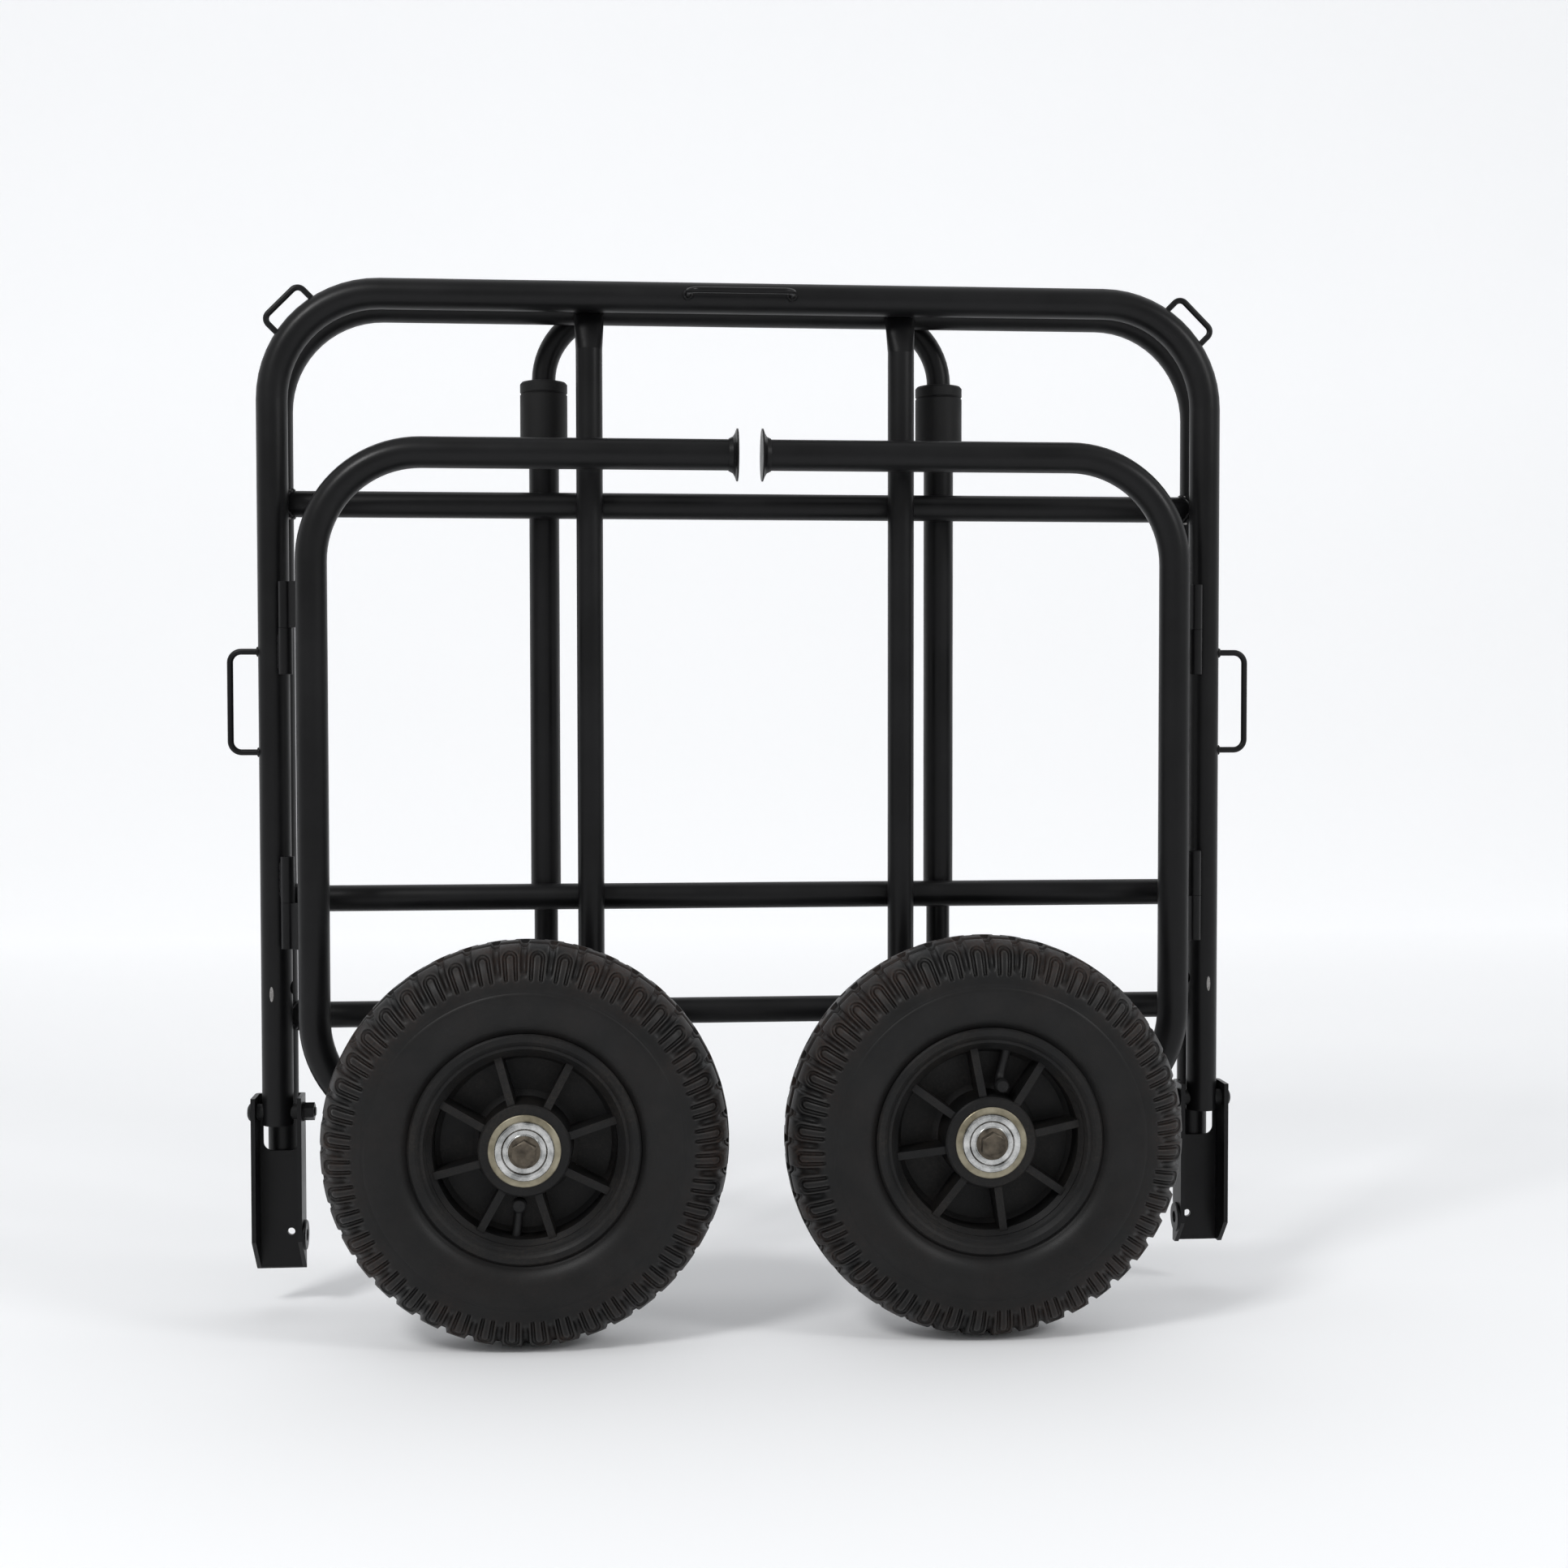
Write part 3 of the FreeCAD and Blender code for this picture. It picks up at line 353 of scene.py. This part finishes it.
# ------------------------------------------------------------------- shape builders
def tyre_surface(name, axle, settings):
    """A closed tyre skin: a profile of (t, r) carried round the axle, with shoulder lugs.

    Point(u, v) = axle + r(v) * (cos u, 0, sin u) - t(v) * (0, 1, 0). Between the groove
    radius and the crown the radius drops by the groove depth wherever a slot runs, which
    is where cos(lugs * u) is above a limit, and along the arch between two slots.
    """
    t_keys = np.array([31.6, 31.9, 33.5, 36.0, 39.6, 42.6, 43.6, 43.4, 42.9, 42.5, 41.0,
                       38.6, 35.4, 31.0, 25.0, 16.0, 7.0, 0.0]) / 1000
    r_keys = np.array([80.0, 88.0, 91.4, 93.0, 97.8, 107.0, 118.0, 122.0, 123.2, 126.5, 133.5,
                       140.5, 146.2, 151.0, 154.7, 157.4, 158.6, 158.8]) / 1000
    half = 81
    keys = np.linspace(0, 1, len(t_keys))
    fine = np.linspace(0, 1, half)
    t = np.interp(fine, keys, t_keys)
    r = np.interp(fine, keys, r_keys)
    kernel = np.ones(5) / 5
    t[2:-2] = np.convolve(t, kernel, "valid")
    r[2:-2] = np.convolve(r, kernel, "valid")
    finer = np.interp(np.linspace(0, 1, PROFILE_POINTS), [0, 0.34, 0.71, 1], [0, 0.53, 0.80, 1])
    t = np.interp(finer, fine, t)
    r = np.interp(finer, fine, r)
    t = np.concatenate([t, -t[-2::-1]])
    r = np.concatenate([r, r[-2::-1]])
    around = settings.lugs * COLUMNS_PER_LUG
    u = np.linspace(0, 2 * math.pi, around, endpoint=False)[:, None]
    radius = r[None, :] + 0 * u
    depth = t[None, :] + 0 * u
    wave = np.cos(settings.lugs * u)
    slot = smooth_step(0.55, 0.92, wave)
    reach = smooth_step(0.1320, 0.1420, radius) * (1 - smooth_step(0.1568, 0.1578, radius))
    centre_wave = np.cos(settings.lugs * u + np.where(depth > 0, 0, 1) * math.pi)
    crown_slot = smooth_step(0.55, 0.85, centre_wave) * smooth_step(0.1568, 0.1580, radius)
    ring = np.exp(-((radius - 0.1226) / 0.0009) ** 2) * (np.abs(depth) > 0.04)
    grooves = np.exp(-((np.abs(depth) - 0.0125) / 0.0016) ** 2) * (radius > 0.15)
    share = (settings.lugs * u / (2 * math.pi)) % 1
    w = (share - 0.5) * 2 * math.pi * LUG_PITCH_R / settings.lugs
    arch = np.abs(np.hypot(w, np.maximum(radius - ARCH_TOP_R, 0)) - ARCH_HALF)
    arches = ((1 - smooth_step(0.0006, 0.0020, arch))
              * smooth_step(ARCH_FOOT_R - 0.001, ARCH_FOOT_R + 0.001, radius))
    cut = (settings.groove * slot * reach + 0.6 * settings.groove * crown_slot
           + RAIN_GROOVE_DEPTH * grooves + SIDEWALL_RING_DEPTH * ring + ARCH_DEPTH * arches)
    outward_r = np.gradient(-t)
    outward_t = np.gradient(r)
    size = np.hypot(outward_r, outward_t) + 1e-12
    radius = radius - cut * np.abs(outward_r / size)[None, :]
    depth = depth - cut * np.sign(depth) * np.abs(outward_t / size)[None, :]
    points = np.stack([axle[0] + radius * np.cos(u), axle[1] - depth,
                       axle[2] + radius * np.sin(u)], axis=-1)
    return grid_mesh(name, points, close_u=True, close_v=True, flip=True)


def bead_mesh(name, path, radius, seed, closed=False):
    """A weld bead: circles of a rippling radius carried along a path.

    Point(s, a) = path(s) + rho(s) * (cos a * side + sin a * up), with
    rho = radius * (0.85 + 0.2 * |sin(k s)| + noise), so it shows overlapping ripples.
    """
    rng = np.random.default_rng(seed)
    count = len(path)
    tangent = np.roll(path, -1, 0) - np.roll(path, 1, 0) if closed else np.gradient(path, axis=0)
    tangent /= np.linalg.norm(tangent, axis=1)[:, None]
    helper = np.where(np.abs(tangent[:, 1:2]) < 0.9, [[0, 1, 0]], [[1, 0, 0]])
    side = np.cross(tangent, helper)
    side /= np.linalg.norm(side, axis=1)[:, None]
    up = np.cross(side, tangent)
    s = np.arange(count)
    rho = radius * (0.85 + 0.22 * np.abs(np.sin(s * 0.55)) + 0.10 * rng.standard_normal(count))
    if not closed:
        rho = rho * np.clip(np.minimum(s, count - 1 - s) / 3, 0.02, 1)
    a = np.linspace(0, 2 * math.pi, 8, endpoint=False)
    ring = (np.cos(a)[None, :, None] * side[:, None, :]
            + np.sin(a)[None, :, None] * up[:, None, :])
    points = path[:, None, :] + rho[:, None, None] * ring
    return grid_mesh(name, points, close_u=closed, close_v=True)


def saddle_path(centre, axis, radius, other_axis, other_radius, count=64):
    """Where a round bar meets a round tube square on.

    Round the bar by angle a: bar radius * (cos a, sin a), and along the bar's axis the
    tube's surface, sqrt(R^2 - (r sin a)^2), is added.
    """
    a = np.linspace(0, 2 * math.pi, count, endpoint=False)
    axis = np.array(axis, float)
    other = np.array(other_axis, float)
    third = np.cross(axis, other)
    across = radius * np.sin(a)
    along_tube = radius * np.cos(a)
    reach = np.sqrt(np.maximum(other_radius ** 2 - across ** 2, 0))
    return (np.array(centre) + along_tube[:, None] * other + across[:, None] * third
            + reach[:, None] * axis)


def rear_beads(radius):
    """Beads at the ends and crossings of the bars, the long bars' tops and the brackets."""
    low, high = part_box("rear_frame")
    rear_y = (low[1] + high[1]) / 2
    leg_x = high[0] - TUBE_R
    beads = []
    for number, bar in enumerate(("upper", "middle", "lower")):
        low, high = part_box(bar + "_cross_bar")
        z = (low[2] + high[2]) / 2
        for sign in SIDES.values():
            path = saddle_path((sign * leg_x, rear_y, z), (-sign, 0, 0), CROSS_BAR_R,
                               (0, 0, 1), TUBE_R)
            beads.append(bead_mesh("bead", path, radius * 0.8, number, closed=True))
        for sign in SIDES.values():
            x = sign * LONG_BAR_X
            front = rear_y - 0.011
            for end in (-1, 1):
                s = np.linspace(-0.008, 0.008, 14)
                path = np.stack([x + s, front + np.abs(s) * 0.45 - 0.0004,
                                 z + end * (0.0045 + np.abs(s) * 0.35)], axis=-1)
                beads.append(bead_mesh("bead", path, radius, number + 10))
    for sign in SIDES.values():
        s = np.linspace(-0.0125, 0.0125, 20)
        path = np.stack([sign * LONG_BAR_X + s, np.full_like(s, rear_y - 0.0128),
                         np.full_like(s, LONG_BAR_WELD_Z)], axis=-1)
        beads.append(bead_mesh("bead", path, radius, 31))
        for edge in (-1, 1):
            z = np.linspace(*BRACKET_WELD_Z, 22)
            path = np.stack([np.full_like(z, sign * leg_x + edge * 0.0075),
                             np.full_like(z, rear_y - 0.0115), z], axis=-1)
            beads.append(bead_mesh("bead", path, radius, 33 + edge))
    return beads


def front_beads(radius):
    """Rings round the tie loops' ends, and runs along the leaves on the front legs.

    A ring's point is centre + 0.4 mm * axis + ROD_WELD_R * (cos a * first + sin a * second).
    """
    ends = [((sign * SIDE_LOOP_X, FRONT_Y, z), (sign, 0, 0)) for sign in SIDES.values()
            for z in SIDE_LOOP_ENDS_Z]
    ends += [((x, FRONT_Y - 0.0123, TOP_LOOP_Z), (0, -1, 0)) for x in TOP_LOOP_ENDS_X]
    a = np.linspace(0, 2 * math.pi, 20, endpoint=False)[:, None]
    first = np.array([0, 0, 1.0])
    beads = []
    for number, (centre, axis) in enumerate(ends):
        axis = np.array(axis, float)
        second = np.cross(axis, first)
        path = (np.array(centre) + axis * 0.0004
                + ROD_WELD_R * (np.cos(a) * first + np.sin(a) * second))
        beads.append(bead_mesh("bead", path, radius * 0.75, number + 50, closed=True))
    for sign in SIDES.values():
        for low, high in LEAF_SPANS_Z:
            z = np.linspace(low, high, 26)
            path = np.stack([np.full_like(z, sign * LEAF_EDGE_X),
                             np.full_like(z, FRONT_Y - 0.0131), z], axis=-1)
            beads.append(bead_mesh("bead", path, radius * 0.7, 70))
    return beads


def highlight_oval(name, x, z, tube_x, tube_y, tube_r, half_x, half_z):
    """A thin oval lying on an upright tube, closed at its middle.

    With v from 0 to 1 and angle u: x and z are the centre plus v * half size * (cos u,
    sin u), and y is the tube's front, tube_y - sqrt(tube_r^2 - (x - tube_x)^2), less a
    crown of 0.25 mm * (1 - v^2).
    """
    u = np.linspace(0, 2 * math.pi, 28, endpoint=False)[:, None]
    v = np.linspace(0, 1, 6)[None, :]
    px = x + half_x * v * np.cos(u)
    pz = z + half_z * v * np.sin(u)
    front = tube_y - np.sqrt(np.maximum(tube_r ** 2 - (px - tube_x) ** 2, 0))
    points = np.stack([px, front - 0.00025 * (1 - v ** 2) - 0.00002, pz], axis=-1)
    mesh = grid_mesh(name, points, close_u=True, flip=True)
    work = bmesh.new()
    work.from_mesh(mesh)
    bmesh.ops.remove_doubles(work, verts=work.verts, dist=1e-6)
    work.to_mesh(mesh)
    work.free()
    return mesh


# --------------------------------------------------------------------------- stage
def add_floor(scene):
    """A pale floor that curves up into a backdrop, which glows a little far back."""
    material, tree, shader, vector = new_material("Studio floor")
    base = tuple(scene.camp_cart.floor_colour)
    soft = noise(tree, vector, 3.0, 2.0)
    colour = mix_colour(tree, soft.outputs["Fac"], base + (1,),
                        tuple(min(c * 1.015, 1) for c in base) + (1,))
    tree.links.new(colour, shader.inputs["Base Color"])
    shader.inputs["Roughness"].default_value = 0.9
    shader.inputs["Specular IOR Level"].default_value = 0.1
    place = tree.nodes.new("ShaderNodeSeparateXYZ")
    tree.links.new(vector, place.inputs[0])
    glow = map_range(tree, place.outputs["Y"], 0.4, 3.0, 0.0, 0.24)
    shader.inputs["Emission Color"].default_value = (0.985, 0.992, 1.0, 1)
    tree.links.new(glow, shader.inputs["Emission Strength"])
    u = np.linspace(-9, 9, 3)[:, None]
    floor_run = np.array([[-9.0, 0.0], [3.0, 0.0]])
    a = np.linspace(0, math.pi / 2, 16)
    curve = np.stack([3.0 + 1.5 * np.sin(a), 1.5 - 1.5 * np.cos(a)], axis=-1)
    wall = np.array([[4.5, 9.0]])
    run = np.concatenate([floor_run, curve[1:], wall])
    points = np.stack([u + 0 * run[None, :, 0], run[None, :, 0] + 0 * u,
                       run[None, :, 1] + 0 * u], axis=-1)
    floor = bpy.data.objects.new("studio_floor", grid_mesh("studio_floor", points))
    scene.collection.objects.link(floor)
    floor.data.materials.append(material)


def add_world(scene):
    """An even pale sky, dimmer in front so that dark tubes keep their depth."""
    world = bpy.data.worlds.new("Studio")
    world.use_nodes = True
    background = world.node_tree.nodes["Background"]
    background.inputs["Color"].default_value = (0.98, 0.988, 1.0, 1)
    direction = world.node_tree.nodes.new("ShaderNodeTexCoord")
    axes = world.node_tree.nodes.new("ShaderNodeSeparateXYZ")
    world.node_tree.links.new(direction.outputs["Generated"], axes.inputs[0])
    strength = map_range(world.node_tree, axes.outputs["Y"], -0.5, 0.4, 0.58, 0.95)
    world.node_tree.links.new(strength, background.inputs["Strength"])
    scene.world = world


def add_lights(scene):
    lights = (("Key", (-1.6, -1.9, 2.6), (0, 0, 0.5), 0.7, 40),
              ("Fill", (2.2, -1.7, 1.9), (0, 0, 0.4), 0.6, 20))
    for name, place, aim, size, power in lights:
        lamp = bpy.data.lights.new(name, "AREA")
        lamp.size = size
        lamp.energy = power
        light = bpy.data.objects.new(name, lamp)
        light.location = place
        light.rotation_euler = (Vector(aim) - Vector(place)).to_track_quat("-Z", "Y").to_euler()
        scene.collection.objects.link(light)


def add_camera(scene):
    """A camera in front and a little to the left, turned by yaw and pitch, then roll."""
    camera_data = bpy.data.cameras.new("Camera")
    camera_data.sensor_width = 36.0
    camera_data.lens = 48.44
    camera = bpy.data.objects.new("Camera", camera_data)
    yaw, pitch, roll = 0.0815, -0.0331, -0.0012
    forward = Vector((math.sin(yaw) * math.cos(pitch), math.cos(yaw) * math.cos(pitch),
                      math.sin(pitch)))
    right = Vector((math.cos(yaw), -math.sin(yaw), 0))
    up = right.cross(forward)
    turn = Matrix((right, up, -forward)).transposed().to_4x4()
    camera.matrix_world = (Matrix.Translation((-0.11305, -1.7627 + FRONT_Y, 0.49306))
                           @ turn @ Matrix.Rotation(roll, 4, "Z"))
    scene.collection.objects.link(camera)
    scene.camera = camera


# ------------------------------------------------------------------------ settings
class CartSettings(bpy.types.PropertyGroup):
    coat_colour: bpy.props.FloatVectorProperty(
        name="Coat colour", description="Powder coat of the tubes", subtype="COLOR",
        default=(0.0030, 0.0030, 0.0033), min=0, max=1)
    weld_radius: bpy.props.FloatProperty(
        name="Weld radius", description="Radius of a weld bead", subtype="DISTANCE",
        unit="LENGTH", default=0.0022, min=0.0005, max=0.006)
    floor_colour: bpy.props.FloatVectorProperty(
        name="Floor colour", description="Colour of the floor and backdrop", subtype="COLOR",
        default=(0.895, 0.90, 0.91), min=0, max=1)


class TyreSettings(bpy.types.PropertyGroup):
    lugs: bpy.props.IntProperty(
        name="Lugs", description="Shoulder lugs round each tyre", default=44, min=12, max=80)
    groove: bpy.props.FloatProperty(
        name="Groove depth", description="Depth of the slots between lugs",
        subtype="DISTANCE", unit="LENGTH", default=0.0042, min=0.0005, max=0.008)


# ----------------------------------------------------------------------- operators
class CART_OT_finishes(bpy.types.Operator):
    """Build the finishes and give every CAD node its own"""
    bl_idname = "camp_cart.finishes"
    bl_label = "Finishes"

    def execute(self, context):
        coat = tuple(context.scene.camp_cart.coat_colour)
        surface_grain_group()
        dust_group()
        dark = coat + (1,)
        light = tuple(c * 1.7 for c in coat) + (1,)
        finishes = {
            "black_steel": grained_material("Powder coat", dark, light, (0.30, 0.42),
                                            grain=(700.0, 0.12, 14.0), gloss=0.20),
            "rim_plastic": grained_material("Rim plastic", grey(0.0045), grey(0.008),
                                            (0.44, 0.56), grain=(1100.0, 0.3, 30.0),
                                            dust=0.10, gloss=0.20),
            "moulded_plastic": grained_material("Moulded plastic", grey(0.006), grey(0.010),
                                                (0.5, 0.62), grain=(1200.0, 0.3, 30.0),
                                                gloss=0.20),
            "zinc_steel": grained_material("Bright zinc", (0.26, 0.265, 0.26, 1),
                                           (0.62, 0.62, 0.61, 1), (0.16, 0.36), 1.0,
                                           (500.0, 0.12, 110.0)),
            "bolt_steel": grained_material("Dull bolt steel", (0.045, 0.038, 0.030, 1),
                                           (0.13, 0.11, 0.085, 1), (0.35, 0.55), 0.9,
                                           (600.0, 0.2, 120.0)),
            "yellow_zinc": grained_material("Yellow zinc", (0.16, 0.14, 0.095, 1),
                                            (0.34, 0.31, 0.23, 1), (0.34, 0.5), 0.8,
                                            (500.0, 0.12, 70.0)),
            "tyre_rubber": grained_material("Plain rubber", grey(0.010), grey(0.016),
                                            (0.62, 0.75), grain=(1400.0, 0.25, 40.0),
                                            dust=0.2, gloss=0.3),
            "tube_rubber": grained_material("Inner tube rubber", grey(0.008), grey(0.014),
                                            (0.5, 0.6), grain=(1400.0, 0.2, 40.0), gloss=0.3),
        }
        slots = {part["node"]: part["material_slot"] for part in frame["record"]["subparts"]}
        for name, node in frame["nodes"].items():
            node.data.materials.clear()
            node.data.materials.append(finishes[slots[name]])
        return {"FINISHED"}


class CART_OT_tyres(bpy.types.Operator):
    """Replace each plain tyre with one that has shoulder lugs and grooves"""
    bl_idname = "camp_cart.tyres"
    bl_label = "Tyres"

    def execute(self, context):
        settings = context.scene.camp_cart_tyre
        for side in SIDES:
            axle = joint_position("wheel_spin_" + side)
            rubber = tyre_material("Tyre rubber " + side, axle, settings.lugs)
            mesh = tyre_surface("treaded_tyre_" + side, axle, settings)
            tyre = add_piece("treaded_tyre_" + side, mesh, "wheel_" + side, rubber)
            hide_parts("tyre_" + side)
        return {"FINISHED"}


class CART_OT_welds(bpy.types.Operator):
    """Lay weld beads where bars, loops and brackets meet the frames"""
    bl_idname = "camp_cart.welds"
    bl_label = "Weld beads"

    def execute(self, context):
        radius = context.scene.camp_cart.weld_radius
        coat = bpy.data.materials["Powder coat"]
        for name, beads, body in (("rear_weld_beads", rear_beads(radius), "rear_half"),
                                  ("front_weld_beads", front_beads(radius), "front_half")):
            add_piece(name, join_meshes(name, beads), body, coat)
        return {"FINISHED"}


class CART_OT_marks(bpy.types.Operator):
    """Add the small light ovals on the front legs and bright specks at two weld toes, both
    painted highlights
    """
    bl_idname = "camp_cart.marks"
    bl_label = "Painted highlight marks"

    def execute(self, context):
        highlight_metal = grained_material("Painted highlight metal", (0.16, 0.155, 0.15, 1),
                                (0.34, 0.33, 0.32, 1), (0.35, 0.6), 0.8, (900.0, 0.4, 500.0))
        # Painted highlight: a light oval painted on each front leg, standing just proud of the
        # tube.
        ovals = []
        for sign in SIDES.values():
            middle = sign * 0.3915
            ovals.append(highlight_oval("oval", middle, 0.264, sign * FRONT_LEG_X, FRONT_Y, TUBE_R,
                                   0.0016, 0.0062))
        add_piece("highlight_ovals", join_meshes("highlight_ovals", ovals), "front_half", highlight_metal)
        # Painted highlights: small light specks painted at the weld toes on the rear half as
        # glints.
        specks = []
        for sign in SIDES.values():
            for number, z in enumerate((0.6790, 0.6635, 0.6560)):
                specks.append(highlight_oval("speck", sign * (0.3775 + 0.0006 * number), z,
                                        sign * FRONT_LEG_X, 0.0735, 0.0129, 0.0012, 0.0009))
        add_piece("weld_glints", join_meshes("weld_glints", specks), "rear_half", highlight_metal)
        return {"FINISHED"}


class CART_OT_stage(bpy.types.Operator):
    """Add the floor, the lights and the camera"""
    bl_idname = "camp_cart.stage"
    bl_label = "Stage"

    def execute(self, context):
        scene = context.scene
        add_floor(scene)
        add_world(scene)
        add_lights(scene)
        add_camera(scene)
        scene.view_settings.view_transform = "Standard"
        return {"FINISHED"}


class CART_PT_panel(bpy.types.Panel):
    """Settings and steps of the camp cart"""
    bl_label = "Camp Cart"
    bl_idname = "CART_PT_panel"
    bl_space_type = "VIEW_3D"
    bl_region_type = "UI"
    bl_category = "Camp Cart"

    def draw(self, context):
        layout = self.layout
        for settings in (context.scene.camp_cart, context.scene.camp_cart_tyre):
            for title in settings.__annotations__:
                layout.prop(settings, title)
        for operator in OPERATORS:
            layout.operator(operator.bl_idname)


OPERATORS = (CART_OT_finishes, CART_OT_tyres, CART_OT_welds, CART_OT_marks, CART_OT_stage)
CLASSES = (CartSettings, TyreSettings) + OPERATORS + (CART_PT_panel,)


def register():
    for cls in CLASSES:
        bpy.utils.register_class(cls)
    bpy.types.Scene.camp_cart = bpy.props.PointerProperty(type=CartSettings)
    bpy.types.Scene.camp_cart_tyre = bpy.props.PointerProperty(type=TyreSettings)


def unregister():
    del bpy.types.Scene.camp_cart_tyre
    del bpy.types.Scene.camp_cart
    for cls in reversed(CLASSES):
        bpy.utils.unregister_class(cls)


def main():
    register()
    bpy.ops.camp_cart.finishes()
    bpy.ops.camp_cart.tyres()
    bpy.ops.camp_cart.welds()
    bpy.ops.camp_cart.marks()
    bpy.ops.camp_cart.stage()
    bpy.context.view_layer.update()


if __name__ == "__main__":
    main()
